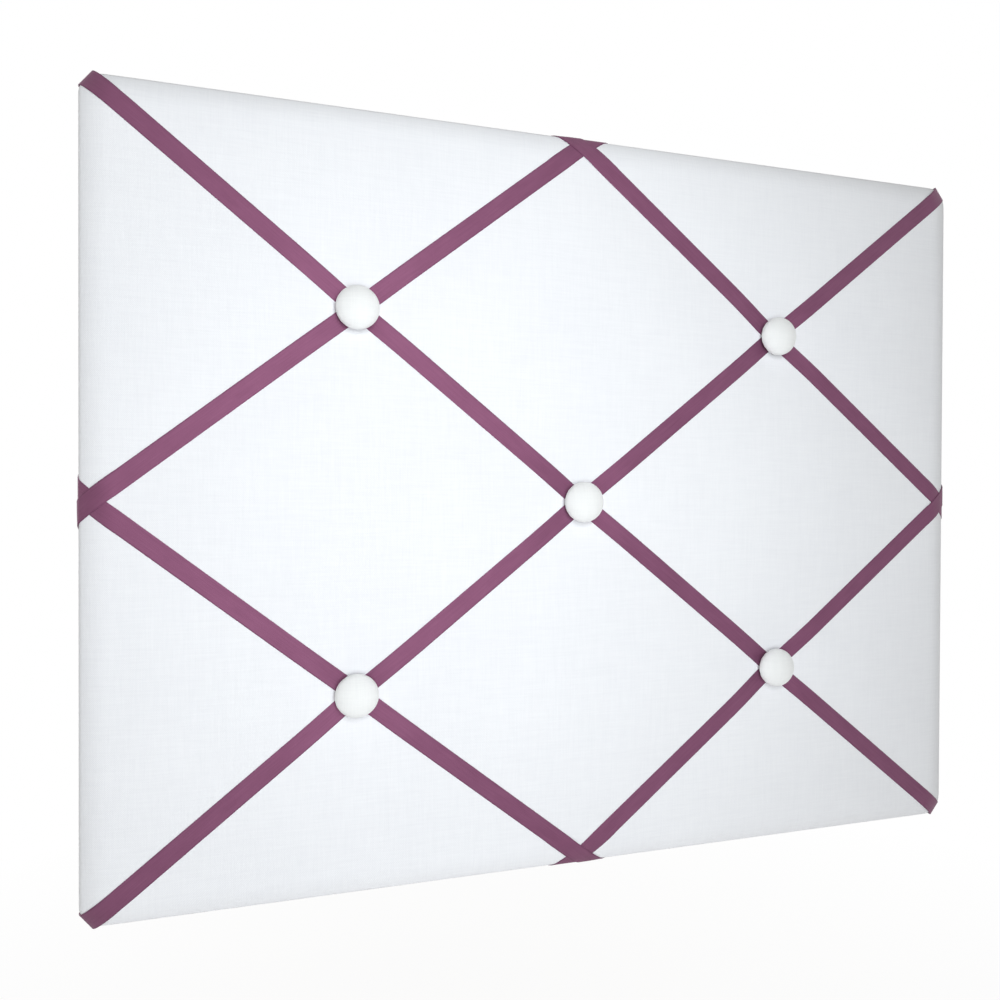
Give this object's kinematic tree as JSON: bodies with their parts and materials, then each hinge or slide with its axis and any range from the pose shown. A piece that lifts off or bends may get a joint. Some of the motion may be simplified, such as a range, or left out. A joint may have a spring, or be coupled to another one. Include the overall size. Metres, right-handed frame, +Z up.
{
  "type": "memo board",
  "caption": "Rectangular padded memo board in white fabric, crossed by a diamond lattice of satin ribbon under covered buttons that holds photos and notes; D-rings on its back hang it.",
  "frame": {"origin": "middle of the back panel's rear face, the face that goes to the wall", "axes": "+X to the viewer's right along the board's length, +Y out of the back towards the wall, +Z up; the front faces -Y"},
  "size_m": [0.5032, 0.0354, 0.4032],
  "materials": {
    "fibreboard": "raw, matt",
    "wadding": "soft, matt",
    "cover_cotton": "plain weave, matt",
    "ribbon_satin": "satin sheen",
    "button_cotton": "plain weave, matt",
    "tinplate": "bright",
    "twine": "waxed, matt",
    "hardboard": "smooth, semi-matt",
    "staple_wire": "bright",
    "nickel_plate": "plated, bright"
  },
  "bodies": {
    "board": {"back_panel": "hardboard", "base_board": "fibreboard", "button_fabric_bottom_left": "button_cotton", "button_fabric_bottom_right": "button_cotton", "button_fabric_center": "button_cotton", "button_fabric_top_left": "button_cotton", "button_fabric_top_right": "button_cotton", "button_plate_bottom_left": "tinplate", "button_plate_bottom_right": "tinplate", "button_plate_center": "tinplate", "button_plate_top_left": "tinplate", "button_plate_top_right": "tinplate", "button_shell_bottom_left": "tinplate", "button_shell_bottom_right": "tinplate", "button_shell_center": "tinplate", "button_shell_top_left": "tinplate", "button_shell_top_right": "tinplate", "button_tie_bottom_left": "twine", "button_tie_bottom_right": "twine", "button_tie_center": "twine", "button_tie_top_left": "twine", "button_tie_top_right": "twine", "fabric_cover": "cover_cotton", "hanger_screw_left": "nickel_plate", "hanger_screw_right": "nickel_plate", "hanger_strap_left": "nickel_plate", "hanger_strap_right": "nickel_plate", "panel_staple_bottom_left": "staple_wire", "panel_staple_bottom_middle": "staple_wire", "panel_staple_bottom_right": "staple_wire", "panel_staple_left_lower": "staple_wire", "panel_staple_left_upper": "staple_wire", "panel_staple_right_lower": "staple_wire", "panel_staple_right_upper": "staple_wire", "panel_staple_top_left": "staple_wire", "panel_staple_top_middle": "staple_wire", "panel_staple_top_right": "staple_wire", "ribbon_bottom_left": "ribbon_satin", "ribbon_bottom_right": "ribbon_satin", "ribbon_falling": "ribbon_satin", "ribbon_rising": "ribbon_satin", "ribbon_top_left": "ribbon_satin", "ribbon_top_right": "ribbon_satin", "tail_staple_corner_bottom_left": "staple_wire", "tail_staple_corner_bottom_right": "staple_wire", "tail_staple_corner_top_left": "staple_wire", "tail_staple_corner_top_right": "staple_wire", "tail_staple_level_bottom_left": "staple_wire", "tail_staple_level_bottom_right": "staple_wire", "tail_staple_level_top_left": "staple_wire", "tail_staple_level_top_right": "staple_wire", "tail_staple_side_bottom_left": "staple_wire", "tail_staple_side_bottom_right": "staple_wire", "tail_staple_side_top_left": "staple_wire", "tail_staple_side_top_right": "staple_wire", "wadding": "wadding"},
    "left_ring": {"hanger_ring_left": "nickel_plate"},
    "right_ring": {"hanger_ring_right": "nickel_plate"}
  },
  "joints": [
    {"name": "left_ring_hinge", "type": "hinge", "parent": "board", "child": "left_ring", "pos_m": [-0.165, 0.0026, 0.11], "axis": [0, 0, 1], "range_deg": [-5, 160]},
    {"name": "right_ring_hinge", "type": "hinge", "parent": "board", "child": "right_ring", "pos_m": [0.165, 0.0026, 0.11], "axis": [0, 0, -1], "range_deg": [-5, 160]}
  ]
}
